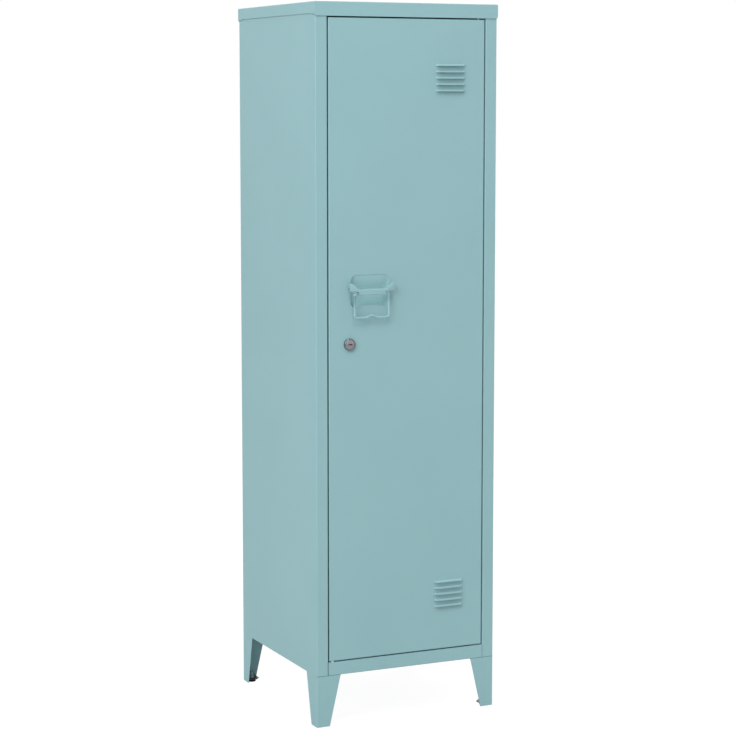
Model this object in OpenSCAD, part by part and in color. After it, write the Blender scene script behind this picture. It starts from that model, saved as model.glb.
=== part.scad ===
// Single steel locker with one door, four tapered legs and three shelves.
// Millimetres, +Z up, the front faces -Y. The origin is at floor level, in the middle of the
// whole locker from side to side and from the handle to the back of the cap.

/* [Cabinet] */
// Width over the side panels
body_w = 378; // [340:1:460]
// Depth over the side panels, from the front face to the back
body_d = 380; // [330:1:460]
// Height from the floor to the top of the cap
locker_h = 1370; // [1250:1:1550]
// Thickness of the sheet steel of the body, the door and the shelves
sheet = 0.8; // [0.7:0.1:1]
// Outside radius of the folds at the corners of the body
fold_r = 1.8; // [1.2:0.1:2.4]
// Width of the stile on each side of the door
stile_w = 23.7; // [21:0.1:30]
// Width of the flange along the back edge of a side panel
back_flange_w = 16; // [12:1:20]
// Width of the flange that the shut door stops against
stop_flange_w = 12; // [9:1:16]
// Height of the rail under the door
rail_h = 25.2; // [20:0.1:35]
// Width of the lip folded in under the base pan
base_lip_w = 20; // [17:1:24]

/* [Cap] */
// Gap between the body and the inside of the cap's lip
cap_gap = 0.7; // [0.3:0.1:1.2]
// Depth of the cap's lip at the front, the back and the corners
cap_lip_h = 26.6; // [22:0.1:34]
// How much shorter the lip is along the two sides
side_lip_step = 4.8; // [2:0.1:8]
// Length of the deep part of the lip at each end of a side
lip_corner_l = 16; // [10:1:30]

/* [Door] */
// Gap beside and over the door
door_gap = 2.4; // [1.5:0.1:4]
// Gap under the door
door_gap_bottom = 2; // [1.9:0.1:4]
// Thickness of the door from its face to the back of its folded edges
door_t = 18; // [16:0.5:22]
// Outside radius of the folds round the door's face
door_fold_r = 2; // [1.4:0.1:2.4]
// Width of the lip folded in behind the door's upright edges
door_lip_w = 12; // [8:1:16]
// Distance of the hinge axis from the door's edge
hinge_inset = 10.9; // [10:0.1:12]
// Distance of the hinge axis behind the door's face
hinge_depth = 8; // [7.5:0.1:9]
// Diameter of the hinge pins
pin_d = 5; // [4:0.5:6]
// Space on each side of the stiffener behind the door's face
stiffener_clear = 12; // [8:0.5:14]
// Depth of the stiffener
stiffener_d = 12; // [8:0.5:14]

/* [Louvres] */
// Number of louvres in a block
louvre_count = 5; // [3:1:7]
// Spacing of the louvres
louvre_pitch = 11.9; // [10.5:0.1:16]
// Length of a louvre's lip
louvre_w = 53; // [40:1:80]
// How far a louvre stands out
louvre_out = 5.2; // [2.6:0.1:6]
// Height of a louvre from its lance line to its top
louvre_h = 4.2; // [3.6:0.1:6]
// Height of the upright lip along a louvre's lower edge
louvre_lip = 1; // [0.8:0.1:1.4]
// Length of the sloping end of a louvre
louvre_end = 4; // [2:0.5:6]
// Distance of the blocks' middle from the door's hinge edge
louvre_inset = 73; // [66:1:84]
// Distance of the upper block's middle below the door's top
upper_louvre_drop = 109.7; // [80:0.1:160]
// Distance of the lower block's middle above the door's bottom
lower_louvre_rise = 110; // [80:0.1:160]

/* [Handle] */
// Distance of the handle's middle from the door's free edge
handle_inset = 84.9; // [76:0.1:100]
// Height of the bail's pivot above the floor
handle_z = 829.5; // [780:0.5:900]
// How far the front of the bracket stands out of the door
bracket_out = 12; // [11:0.5:16]
// Width over the bracket's two ears
bracket_w = 92; // [88:1:98]
// Width of the bar between the ears
bracket_bar_w = 56.4; // [46:0.1:57]
// Height of the bar
bracket_bar_h = 11; // [10:0.5:13]
// Depth of the bar, front to back
bracket_bar_d = 7.6; // [7:0.1:9]
// Thickness of the ears
ear_t = 2.4; // [2:0.1:3]
// Diameter of the bail's wire
wire_d = 4.4; // [3.5:0.1:4.5]
// Distance between the middles of the bail's two legs
bail_w = 70.3; // [67:0.1:74]
// Drop from the pivot to the middle of the bail's lower bar
bail_drop = 46.9; // [40:0.1:60]
// Radius of the bail's corners, at the middle of the wire
bail_corner_r = 5; // [4:0.5:5.5]
// Rise of the finger notch in the bail's lower bar
notch_rise = 4; // [2:0.1:6]
// Angle of the notch's flanks
notch_angle = 20; // [16:1:30]
// Radius of the notch's bends, at the middle of the wire
notch_bend_r = 8; // [4:0.5:9]
// Width of the hollow pressed into the door behind the handle
dish_w = 80; // [74:1:80]
// Height of the hollow
dish_h = 64; // [56:1:76]
// Depth of the hollow
dish_depth = 12; // [9:0.5:14]
// How far the top of the hollow is above the bail's pivot
dish_rise = 34; // [30:0.5:44]
// Rise of the arc that bounds the bottom of the hollow
dish_arc_rise = 6; // [2:0.5:10]

/* [Lock] */
// Distance of the lock from the door's free edge
lock_inset = 42.2; // [38:0.1:50]
// Height of the lock above the floor
lock_z = 732.8; // [690:0.1:760]
// Diameter of the lock's rim
lock_rim_d = 23; // [20:0.5:26]
// How far the rim stands out of the door
lock_rim_out = 4.6; // [1.5:0.1:5.5]
// Diameter of the barrel, and of its hole
barrel_d = 16; // [15:0.5:18]
// Diameter of the face of the plug
plug_face_d = 17.4; // [16:0.1:18.4]
// Diameter of the plug inside the barrel
plug_d = 11; // [10:0.5:12]
// Length of the cam from the lock's axis to its tip
cam_l = 41; // [38.5:0.5:41.5]
// Width of the cam
cam_w = 15; // [12:1:18]
// Thickness of the cam
cam_t = 2; // [1.5:0.1:2.5]

/* [Legs] */
// Height of the legs, up to the bottom of the body
leg_h = 100; // [80:1:140]
// Thickness of the legs' steel
leg_t = 1.2; // [1:0.1:2]
// Width of a leg's face at the top
leg_top_w = 49.5; // [46:0.5:60]
// Width of a leg's face at the bottom
leg_foot_w = 26.5; // [25:0.5:32]
// Height of the leg's lower edge above the floor
leg_clear = 1; // [0.5:0.1:2]
// Diameter of the levelling foot
foot_d = 18; // [16:1:22]
// Height of the levelling foot's disc
foot_h = 3.2; // [2.5:0.1:4]
// Distance of the foot's axis from the leg's two outer faces
foot_inset = 12.5; // [12.5:0.1:14.5]
// Diameter of the foot's screw
foot_screw_d = 6; // [5:1:8]
// Length of the foot's screw above the disc
foot_screw_l = 17; // [17:1:30]
// Height of the foot plate above the floor
foot_plate_z = 6; // [5.5:0.1:9]

/* [Shelves] */
// Height of a shelf's folded edge
shelf_edge_h = 15; // [12:1:25]
// Distance of the shelves' front edge behind the front face
shelf_setback = 32; // [29:1:50]
// Width of the slotted uprights
upright_w = 20; // [16:1:26]
// How far the uprights stand off the side panels
upright_out = 8; // [7:0.5:12]
// Spacing of the slots
slot_pitch = 50; // [40:5:80]
// Distance of the front uprights behind the front face
upright_front = 70; // [58:1:90]
// Distance of the rear uprights in front of the back
upright_back = 60; // [48:1:90]
// Height of the lowest slot's middle above the locker's floor
slot_from_floor = 27; // [20:1:40]

/* [Hidden] */

$fn = 48;

// Clearances
seat_gap = 0.3;
pin_clear = 0.08;
hole_clear = 0.15;
seam_gap = 0.2;
// How far a cutting shape runs past what it cuts, and a shape into the one that it joins
through = 2;

// The body's own frame: x = 0 in the middle, y = 0 at the front face, z = 0 on the floor
half_w = body_w / 2;
cap_over = cap_gap + sheet;
overall_front = bracket_out;
front_y = (overall_front - body_d - cap_over) / 2;
inner_x = half_w - sheet;
stile_x = half_w - stile_w;
side_top = locker_h - sheet;
lip_bottom = locker_h - cap_lip_h;
floor_z = leg_h + rail_h;
back_y = body_d - sheet;

// Door
door_w = 2 * (stile_x - door_gap);
door_half = door_w / 2;
door_bottom = floor_z + door_gap_bottom;
door_top = lip_bottom - door_gap;
buffer_t = 1.7;
buffer_d = 8;
stop_y = door_t + buffer_t + seat_gap;
jamb_d = stop_y + sheet;
pin_x = door_half - hinge_inset;

// Handle and lock, in the same frame
handle_x = handle_inset - door_half;
lock_x = lock_inset - door_half;

// Fasteners
foot_nut_w = 10;
foot_nut_h = 5;
bolt_d = 6;
bolt_head_w = 10;
bolt_head_h = 4;
leg_nut_h = 5;
leg_bolt_from_corner = 36;
leg_bolt_from_face = 11;
thread_past_nut = 1;
stud_d = 5;
stud_nut_w = 8;
stud_nut_h = 4;
stud_from_corner = 76;
top_flange_w = 15;
back_screw_d = 4;
back_screw_head_d = 8;
back_screw_head_h = 1.4;
back_screw_l = 8;
back_screw_count = 4;
back_screw_from_floor = 48;
back_screw_from_top = 78;
wall_hole_d = 6.5;
wall_hole_spacing = 240;
wall_hole_drop = 75;

painted = [0.60, 0.745, 0.768];
zinc = [0.70, 0.71, 0.72];
steel = [0.46, 0.47, 0.49];
nylon = [0.93, 0.93, 0.90];
rubber = [0.12, 0.12, 0.12];

// Shapes that several pieces share

// A block from its lowest corner to its highest
module block(low, high) {
    translate(low) cube(high - low);
}

// Everything is drawn with y = 0 at the front face, then moved to the locker's own origin
module in_place() {
    translate([0, front_y, 0]) children();
}

// Flat square with one round corner at the origin
module corner_square(w, d, r) {
    translate([r, 0]) square([w - r, d]);
    translate([0, r]) square([w, d - r]);
    translate([r, r]) circle(r = r);
}

// Cross-section of sheet folded at the origin, with one leg along +X and one along +Y
module angle_profile(leg_x, leg_y, thick, outer_r) {
    difference() {
        corner_square(leg_x, leg_y, outer_r);
        translate([thick, thick]) corner_square(leg_x, leg_y, outer_r - thick);
    }
}

// Flat rectangle, centred, with four round corners
module round_rect(w, h, r) {
    square([w - 2 * r, h], center = true);
    square([w, h - 2 * r], center = true);
    for (sx = [-1, 1], sy = [-1, 1])
        translate([sx * (w / 2 - r), sy * (h / 2 - r)]) circle(r = r);
}

// Stands a flat shape drawn in X and Z up in the front plane, from y = 0 to y = depth
module stand_up(depth) {
    translate([0, depth, 0]) rotate([90, 0, 0]) linear_extrude(height = depth) children();
}

// Runs a flat shape drawn in Y and Z along X, centred
module run_along_x(length) {
    rotate([90, 0, 90]) translate([0, 0, -length / 2]) linear_extrude(height = length) children();
}

// Cylinder along +Y that starts at y = 0
module rod_y(r, length) {
    rotate([-90, 0, 0]) cylinder(r = r, h = length);
}

module hex_nut(across, height, bore_d) {
    difference() {
        cylinder(d = across / cos(30), h = height, $fn = 6);
        translate([0, 0, -through]) cylinder(d = bore_d, h = height + 2 * through);
    }
}

// Puts a corner drawn at the front left into one of the four corners
module at_corner(right, rear) {
    translate([right ? half_w : -half_w, rear ? body_d : 0, 0])
        mirror([right ? 1 : 0, 0, 0])
            mirror([0, rear ? 1 : 0, 0])
                children();
}

// Body

// Box with its four top edges folded over at radius r, open to any height below
module folded_box(w, front, back, top, bottom, r) {
    intersection() {
        rotate([90, 0, 0]) translate([0, 0, -back - through])
            linear_extrude(height = back - front + 2 * through)
                folded_outline(-w / 2, w / 2, bottom, top, r);
        run_along_x(w + 2 * through) folded_outline(front, back, bottom, top, r);
    }
}

// Rectangle with its two upper corners round
module folded_outline(left, right, bottom, top, r) {
    translate([left, bottom]) square([right - left, top - r - bottom]);
    translate([left + r, bottom]) square([right - left - 2 * r, top - bottom]);
    for (x = [left + r, right - r]) translate([x, top - r]) circle(r = r);
}

stud_places = [
    for (sx = [-1, 1], y = [stud_from_corner, body_d - stud_from_corner])
        [sx * (inner_x - top_flange_w / 2), y]
];

module top_cap() {
    lip_slant = 3;
    end_cut_w = 2;
    end_cut_h = 4;
    header_back = stop_y - seat_gap;
    header_x = stile_x - seam_gap;
    color(painted) in_place() difference() {
        union() {
            difference() {
                folded_box(body_w + 2 * cap_over, -cap_over, body_d + cap_over, locker_h, lip_bottom, fold_r);
                folded_box(body_w + 2 * cap_gap, -cap_gap, body_d + cap_gap, side_top,
                    lip_bottom - through, fold_r - sheet);
                // The lip is shorter along the sides than at the corners
                run_along_x(body_w + 4 * cap_over)
                    polygon([
                        [lip_corner_l, lip_bottom - through],
                        [lip_corner_l, lip_bottom],
                        [lip_corner_l + lip_slant, lip_bottom + side_lip_step],
                        [body_d - lip_corner_l - lip_slant, lip_bottom + side_lip_step],
                        [body_d - lip_corner_l, lip_bottom],
                        [body_d - lip_corner_l, lip_bottom - through]
                    ]);
                // Small slanted cut at the lower ends of the front and back lips
                for (sx = [-1, 1])
                    translate([0, -2 * cap_over, 0]) stand_up(body_d + 4 * cap_over)
                        polygon([
                            [sx * (half_w + cap_over - end_cut_w), lip_bottom - through],
                            [sx * (half_w + cap_over - end_cut_w), lip_bottom],
                            [sx * (half_w + cap_over), lip_bottom + end_cut_h],
                            [sx * (half_w + 2 * cap_over), lip_bottom + end_cut_h],
                            [sx * (half_w + 2 * cap_over), lip_bottom - through]
                        ]);
            }
            // The front lip folds back over the door and carries the upper hinge bush
            block([-header_x, -cap_over, lip_bottom], [header_x, header_back, lip_bottom + sheet]);
        }
        translate([pin_x, hinge_depth, lip_bottom - through])
            cylinder(d = bush_d, h = sheet + 2 * through);
    }
}

// Plan of the left side panel, with its outer face at x = 0 and its front at y = 0
module side_plan() {
    half_d = body_d / 2 + through;
    half_stile = stile_w / 2 + through;
    angle_profile(half_stile, half_d, sheet, fold_r);
    translate([0, body_d]) mirror([0, 1]) angle_profile(back_flange_w, half_d, sheet, fold_r);
    translate([stile_w, 0]) mirror([1, 0]) angle_profile(half_stile, jamb_d, sheet, fold_r);
}

// Side panel for the left; the right one is its mirror image and has no stop flange
module side_panel(has_stop) {
    wall_top = side_top - seat_gap;
    difference() {
        union() {
            // The walls end just below the folds inside the cap, and the flange rests on its underside
            translate([-half_w, 0, leg_h]) linear_extrude(height = wall_top - leg_h) side_plan();
            if (has_stop)
                block([-stile_x - sheet, stop_y, floor_z],
                    [-stile_x + stop_flange_w, stop_y + sheet, wall_top]);
            block([-inner_x - sheet / 2, jamb_d, side_top - sheet],
                [-inner_x + top_flange_w, back_y - sheet, side_top]);
        }
        for (p = stud_places)
            translate([-abs(p[0]), p[1], side_top - sheet - through])
                cylinder(d = stud_d + 2 * hole_clear, h = sheet + 2 * through);
        for (z = back_screw_zs)
            translate([-back_screw_x, back_y - through, z])
                rod_y((back_screw_d + 2 * hole_clear) / 2, sheet + 2 * through);
    }
}

back_screw_x = half_w - back_flange_w / 2;
back_screw_low = floor_z + back_screw_from_floor;
back_screw_step = (side_top - back_screw_from_top - back_screw_low) / (back_screw_count - 1);
back_screw_zs = [for (k = [0:back_screw_count - 1]) back_screw_low + k * back_screw_step];

module left_side() {
    color(painted) in_place() side_panel(true);
}

module right_side() {
    color(painted) in_place() mirror([1, 0, 0]) side_panel(false);
}

module back_panel() {
    // The edges stay clear of the round inside of the side panels' folds
    panel_x = half_w - fold_r;
    color(painted) in_place() difference() {
        block([-panel_x, back_y - sheet, leg_h], [panel_x, back_y, side_top]);
        for (sx = [-1, 1], z = back_screw_zs)
            translate([sx * back_screw_x, back_y - through - sheet, z])
                rod_y((back_screw_d + hole_clear) / 2, sheet + 2 * through);
        for (sx = [-1, 1])
            translate([sx * wall_hole_spacing / 2, back_y - through - sheet, side_top - wall_hole_drop])
                rod_y(wall_hole_d / 2, sheet + 2 * through);
    }
}

leg_holes = [[leg_bolt_from_corner, leg_bolt_from_face], [leg_bolt_from_face, leg_bolt_from_corner]];

// Floor of the locker with the rail under the door; its edges fold down and in again
module base_pan() {
    tongue_x = stile_x - seam_gap;
    pan_x = inner_x;
    pan_front = jamb_d + seat_gap;
    pan_back = back_y - sheet - seat_gap;
    lip_top = leg_h + sheet;
    color(painted) in_place() difference() {
        union() {
            // Rail, and the floor behind it
            block([-tongue_x, 0, leg_h], [tongue_x, sheet, floor_z]);
            block([-tongue_x, 0, floor_z - sheet], [tongue_x, pan_front + sheet, floor_z]);
            // The rail's ends fold back beside the stiles
            for (sx = [-1, 1])
                block([min(sx * tongue_x, sx * (tongue_x - sheet)), 0, leg_h],
                    [max(sx * tongue_x, sx * (tongue_x - sheet)), jamb_d, floor_z]);
            block([-pan_x, pan_front, floor_z - sheet], [pan_x, pan_back, floor_z]);
            // Skirts along the sides and the back
            for (sx = [-1, 1])
                block([min(sx * pan_x, sx * (pan_x - sheet)), pan_front, leg_h],
                    [max(sx * pan_x, sx * (pan_x - sheet)), pan_back, floor_z]);
            block([-pan_x, pan_back - sheet, leg_h], [pan_x, pan_back, floor_z]);
            // Lip folded in under the pan, which the legs bolt to
            difference() {
                union() {
                    block([-tongue_x, 0, leg_h], [tongue_x, base_lip_w, lip_top]);
                    block([-pan_x, pan_front, leg_h], [pan_x, pan_back, lip_top]);
                }
                block([base_lip_w - half_w, base_lip_w, leg_h - through],
                    [half_w - base_lip_w, body_d - base_lip_w, lip_top + through]);
            }
        }
        translate([pin_x, hinge_depth, floor_z - sheet - through])
            cylinder(d = bush_d, h = sheet + 2 * through);
        for (right = [false, true], rear = [false, true])
            at_corner(right, rear)
                for (p = leg_holes)
                    translate([p[0], p[1], leg_h - through])
                        cylinder(d = bolt_d + 2 * hole_clear, h = sheet + 2 * through);
    }
}

// Shelves

clip_w = 12;
clip_t = 1.6;
ledge_l = 13;
ledge_drop = 5;
shelf_count = 3;
shelf_x = inner_x - upright_out - clip_t - seat_gap;
shelf_back_gap = 4;
shelf_back = back_y - sheet - shelf_back_gap;
slot_w = 4;
slot_h = 14;
slot_from_top = 40;
slot_first = floor_z + slot_from_floor;
slot_total = floor((door_top - slot_from_top - slot_first) / slot_pitch);
// The slot that carries each shelf, counted from the bottom
shelf_slots = [for (i = [1:shelf_count]) round(i * slot_total / (shelf_count + 1))];

// Height of the clips' ledges, which is the bottom of the shelf's folded edge
function ledge_z(i) = slot_first + shelf_slots[i] * slot_pitch - ledge_drop;

// Shelf with its four edges folded down, and a lip folded in at the front and the back
module shelf(i) {
    z = ledge_z(i);
    lip_w = 10;
    color(painted) in_place() union() {
        difference() {
            folded_box(2 * shelf_x, shelf_setback, shelf_back, z + shelf_edge_h, z, fold_r);
            folded_box(2 * (shelf_x - sheet), shelf_setback + sheet, shelf_back - sheet,
                z + shelf_edge_h - sheet, z - through, fold_r - sheet);
        }
        block([sheet - shelf_x, shelf_setback, z], [shelf_x - sheet, shelf_setback + lip_w, z + sheet]);
        block([sheet - shelf_x, shelf_back - lip_w, z], [shelf_x - sheet, shelf_back, z + sheet]);
    }
}

module lower_shelf() {
    shelf(0);
}

module middle_shelf() {
    shelf(1);
}

module upper_shelf() {
    shelf(2);
}

upright_from_top = 12;
upright_bottom = floor_z;
upright_top = door_top - upright_from_top;

// Slotted channel on a side panel, drawn for the left side with its middle at depth y
module upright(right, y) {
    x0 = -inner_x;
    x1 = x0 + upright_out;
    color(painted) in_place() mirror([right ? 1 : 0, 0, 0]) difference() {
        block([x0, y - upright_w / 2, upright_bottom], [x1, y + upright_w / 2, upright_top]);
        block([x0 - through, y - upright_w / 2 + sheet, upright_bottom - through],
            [x1 - sheet, y + upright_w / 2 - sheet, upright_top + through]);
        for (k = [0:slot_total])
            block([x1 - through, y - slot_w / 2, slot_first + k * slot_pitch - slot_h / 2],
                [x1 + through, y + slot_w / 2, slot_first + k * slot_pitch + slot_h / 2]);
    }
}

module front_left_upright() {
    upright(false, upright_front);
}

module front_right_upright() {
    upright(true, upright_front);
}

module rear_left_upright() {
    upright(false, body_d - upright_back);
}

module rear_right_upright() {
    upright(true, body_d - upright_back);
}

// Clip: a ledge with a back plate against the upright and a hook through its slot
module shelf_clip() {
    hook_t = slot_w - 2 * hole_clear;
    web_gap = sheet + hole_clear;
    plate_h = 16;
    hook_h = 5;
    hook_tail = 3;
    block([0, -clip_w / 2, -clip_t], [clip_t + ledge_l, clip_w / 2, 0]);
    block([0, -clip_w / 2, -clip_t], [clip_t, clip_w / 2, plate_h]);
    block([-web_gap - clip_t, -hook_t / 2, ledge_drop - hook_h / 2],
        [0, hook_t / 2, ledge_drop + hook_h / 2]);
    block([-web_gap - clip_t, -hook_t / 2, ledge_drop - slot_h / 2 - hook_tail],
        [-web_gap, hook_t / 2, ledge_drop + hook_h / 2]);
}

module shelf_clips() {
    color(zinc) in_place()
        for (i = [0:shelf_count - 1], y = [upright_front, body_d - upright_back], right = [false, true])
            mirror([right ? 1 : 0, 0, 0])
                translate([-inner_x + upright_out, y, ledge_z(i)]) shelf_clip();
}

// Legs and feet

// Tapered leg folded from one sheet, drawn at the front left corner
module leg_shape() {
    plate_cut = 16.5;
    taper = (leg_top_w - leg_foot_w) / leg_h;
    // Sloping edge of a face, from below the floor line to above the top
    low_w = leg_foot_w - taper * through;
    high_w = leg_top_w + taper * through;
    far = 2 * leg_top_w;
    difference() {
        union() {
            linear_extrude(height = leg_h) angle_profile(leg_top_w, leg_top_w, leg_t, fold_r);
            // Top plate folded in from the two faces
            translate([0, 0, leg_h - leg_t]) linear_extrude(height = leg_t)
                intersection() {
                    corner_square(leg_top_w, leg_top_w, fold_r);
                    polygon([
                        [0, 0], [leg_top_w, 0], [leg_top_w, plate_cut],
                        [plate_cut, leg_top_w], [0, leg_top_w]
                    ]);
                }
        }
        translate([0, -through, 0]) stand_up(leg_top_w + 2 * through)
            polygon([[low_w, -through], [far, -through], [far, leg_h + through], [high_w, leg_h + through]]);
        rotate([90, 0, 90]) translate([0, 0, -through]) linear_extrude(height = leg_top_w + 2 * through)
            polygon([[low_w, -through], [far, -through], [far, leg_h + through], [high_w, leg_h + through]]);
        block([-through, -through, -through], [far, far, leg_clear]);
        for (p = leg_holes)
            translate([p[0], p[1], leg_h - leg_t - through])
                cylinder(d = bolt_d + 2 * hole_clear, h = leg_t + 2 * through);
    }
}

module leg(right, rear) {
    color(painted) in_place() at_corner(right, rear) leg_shape();
}

module front_left_leg() {
    leg(false, false);
}

module front_right_leg() {
    leg(true, false);
}

module rear_left_leg() {
    leg(false, true);
}

module rear_right_leg() {
    leg(true, true);
}

foot_plate_t = 1.5;

// Plate welded into the bottom of the leg, which the foot screws through
module foot_plate(right, rear) {
    plate_w = leg_foot_w - leg_t;
    corner_cut = 8;
    color(steel) in_place() at_corner(right, rear) difference() {
        translate([leg_t, leg_t, foot_plate_z]) linear_extrude(height = foot_plate_t) difference() {
            corner_square(plate_w, plate_w, fold_r);
            translate([plate_w, plate_w]) rotate(45) square(corner_cut * sqrt(2), center = true);
        }
        translate([foot_inset, foot_inset, foot_plate_z - through])
            cylinder(d = foot_screw_d + 2 * pin_clear, h = foot_plate_t + 2 * through);
    }
}

module front_left_foot_plate() {
    foot_plate(false, false);
}

module front_right_foot_plate() {
    foot_plate(true, false);
}

module rear_left_foot_plate() {
    foot_plate(false, true);
}

module rear_right_foot_plate() {
    foot_plate(true, true);
}

module at_all_corners() {
    for (right = [false, true], rear = [false, true]) at_corner(right, rear) children();
}

module foot_nuts() {
    color(zinc) in_place() at_all_corners()
        translate([foot_inset, foot_inset, foot_plate_z + foot_plate_t])
            hex_nut(foot_nut_w, foot_nut_h, foot_screw_d + 2 * pin_clear);
}

// Levelling foot: a disc with a bevelled top edge on a screw
module foot(right, rear) {
    bevel = 1;
    bevel_w = 1.5;
    color(rubber) in_place() at_corner(right, rear) translate([foot_inset, foot_inset, 0]) {
        cylinder(d = foot_d, h = foot_h - bevel);
        translate([0, 0, foot_h - bevel]) cylinder(d1 = foot_d, d2 = foot_d - 2 * bevel_w, h = bevel);
        cylinder(d = foot_screw_d, h = foot_h + foot_screw_l);
    }
}

module front_left_foot() {
    foot(false, false);
}

module front_right_foot() {
    foot(true, false);
}

module rear_left_foot() {
    foot(false, true);
}

module rear_right_foot() {
    foot(true, true);
}

module leg_bolts() {
    shank_top = leg_h + sheet + leg_nut_h + thread_past_nut;
    head_top = leg_h - leg_t;
    color(zinc) in_place() at_all_corners() for (p = leg_holes)
        translate([p[0], p[1], 0]) {
            translate([0, 0, head_top - bolt_head_h])
                cylinder(d = bolt_head_w / cos(30), h = bolt_head_h, $fn = 6);
            translate([0, 0, head_top - bolt_head_h])
                cylinder(d = bolt_d, h = shank_top - head_top + bolt_head_h);
        }
}

module leg_nuts() {
    color(zinc) in_place() at_all_corners() for (p = leg_holes)
        translate([p[0], p[1], leg_h + sheet]) hex_nut(bolt_head_w, leg_nut_h, bolt_d + 2 * pin_clear);
}

// Studs welded under the cap, each through a hole in a side panel's top flange
module cap_studs() {
    color(zinc) in_place() for (p = stud_places)
        translate([p[0], p[1], side_top - stud_nut_h - sheet - thread_past_nut])
            cylinder(d = stud_d, h = stud_nut_h + sheet + thread_past_nut);
}

module cap_nuts() {
    color(zinc) in_place() for (p = stud_places)
        translate([p[0], p[1], side_top - sheet - stud_nut_h])
            hex_nut(stud_nut_w, stud_nut_h, stud_d + 2 * pin_clear);
}

module back_screws() {
    color(zinc) in_place() for (sx = [-1, 1], z = back_screw_zs)
        translate([sx * back_screw_x, body_d, z]) {
            rod_y(back_screw_head_d / 2, back_screw_head_h);
            translate([0, -back_screw_l, 0]) rod_y(back_screw_d / 2, back_screw_l);
        }
}

// Hinges

bush_wall = 1.5;
bush_d = pin_d + 2 * bush_wall;
bush_flange_w = 2;
bush_flange_d = bush_d + 2 * bush_flange_w;
bush_flange_t = 1.6;
bush_l = 4;
pin_head_rim = 1.5;
pin_head_d = pin_d + 2 * pin_head_rim;
pin_head_h = 2;
pin_past_bush = 1.5;
bracket_plate_t = 1.5;
hinge_bracket_l = 32;

// Flanged bush with its flange from z = 0 up and its body below
module hinge_bush_shape(flange_t) {
    difference() {
        union() {
            cylinder(d = bush_flange_d, h = flange_t);
            translate([0, 0, -bush_l]) cylinder(d = bush_d - 2 * pin_clear, h = bush_l);
        }
        translate([0, 0, -bush_l - through])
            cylinder(d = pin_d + 2 * pin_clear, h = bush_l + flange_t + 2 * through);
    }
}

module upper_hinge_bush() {
    // The body ends flush with the underside of the cap's flange, so only the pin shows in the gap
    color(nylon) in_place() translate([pin_x, hinge_depth, lip_bottom + sheet])
        difference() {
            hinge_bush_shape(bush_flange_t);
            translate([0, 0, -bush_l - sheet]) cylinder(d = bush_flange_d, h = bush_l);
        }
}

module lower_hinge_bush() {
    color(nylon) in_place() translate([pin_x, hinge_depth, floor_z])
        hinge_bush_shape(door_gap_bottom - seat_gap);
}

// Plate inside the door's folded edge, which holds the pin
module hinge_bracket(upper) {
    edge = upper ? door_top - sheet : door_bottom + sheet;
    high_x = door_half - door_fold_r - seat_gap;
    plate_d = door_t - 2 * sheet;
    flange_h = 22;
    color(zinc) in_place() difference() {
        translate([high_x - hinge_bracket_l / 2, sheet, edge]) mirror([0, 0, upper ? 1 : 0])
            run_along_x(hinge_bracket_l) angle_profile(plate_d, flange_h, bracket_plate_t, door_fold_r);
        translate([pin_x, hinge_depth, edge - bracket_plate_t - through])
            cylinder(d = pin_d + 2 * pin_clear, h = 2 * (bracket_plate_t + through));
    }
}

module upper_hinge_bracket() {
    hinge_bracket(true);
}

module lower_hinge_bracket() {
    hinge_bracket(false);
}

module upper_hinge_pin() {
    head_top = door_top - sheet - bracket_plate_t;
    tip = lip_bottom + sheet + bush_flange_t + pin_past_bush;
    color(painted) in_place() translate([pin_x, hinge_depth, 0]) {
        translate([0, 0, head_top - pin_head_h]) cylinder(d = pin_head_d, h = pin_head_h);
        translate([0, 0, head_top - pin_head_h]) cylinder(d = pin_d, h = tip - head_top + pin_head_h);
    }
}

module lower_hinge_pin() {
    head_bottom = door_bottom + sheet + bracket_plate_t;
    tip = floor_z - bush_l - pin_past_bush;
    color(painted) in_place() translate([pin_x, hinge_depth, 0]) {
        translate([0, 0, head_bottom]) cylinder(d = pin_head_d, h = pin_head_h);
        translate([0, 0, tip]) cylinder(d = pin_d, h = head_bottom + pin_head_h - tip);
    }
}

// White pad on the floor that carries the free corner of the shut door
module door_rest_pad() {
    pad_w = 5;
    pad_l = 12;
    pad_inset = 4.5;
    color(nylon) in_place()
        block([pad_inset - door_half, sheet, floor_z],
            [pad_inset - door_half + pad_w, sheet + pad_l, door_bottom - seat_gap]);
}

module door_buffers() {
    buffer_x = -stile_x + stop_flange_w / 2;
    from_end = 90;
    color(rubber) in_place()
        for (z = [door_bottom + from_end, door_top - from_end])
            translate([buffer_x, stop_y - buffer_t, z]) rod_y(buffer_d / 2, buffer_t);
}

// Door

upper_louvre_z = door_top - upper_louvre_drop;
lower_louvre_z = door_bottom + lower_louvre_rise;
louvre_x = door_half - louvre_inset;
// Lance line of the lowest louvre below its block's middle
louvre_first = -(louvre_count - 1) / 2 * louvre_pitch - louvre_h / 2;

// How fast a louvre's top and its two ends slope back to the door
louvre_slope = (louvre_h - louvre_lip) / louvre_out;
louvre_end_slope = louvre_end / louvre_out;

// How far the inside of a wall that slopes back at the given rate lies in from its outside at the lip
function fold_in(slope) = sheet * (sqrt(1 + pow(slope, 2)) - slope);

// Wedge of a louvre from its lip at y = -out to the plane y = back; it stands on z = low
module louvre_wedge(lip_half, out, low, lip_z, back) {
    high = lip_z + louvre_slope * (back + out);
    base_half = lip_half + louvre_end_slope * (back + out);
    intersection() {
        run_along_x(2 * base_half)
            polygon([[back, low], [-out, low], [-out, lip_z], [back, high]]);
        translate([0, 0, low - through]) linear_extrude(height = high - low + 2 * through)
            polygon([[-base_half, back], [-lip_half, -out], [lip_half, -out], [base_half, back]]);
    }
}

// Outside of a louvre, with its lance line at z = 0
module louvre_outside() {
    louvre_wedge(louvre_w / 2, louvre_out, 0, louvre_lip, sheet / 2);
}

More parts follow.
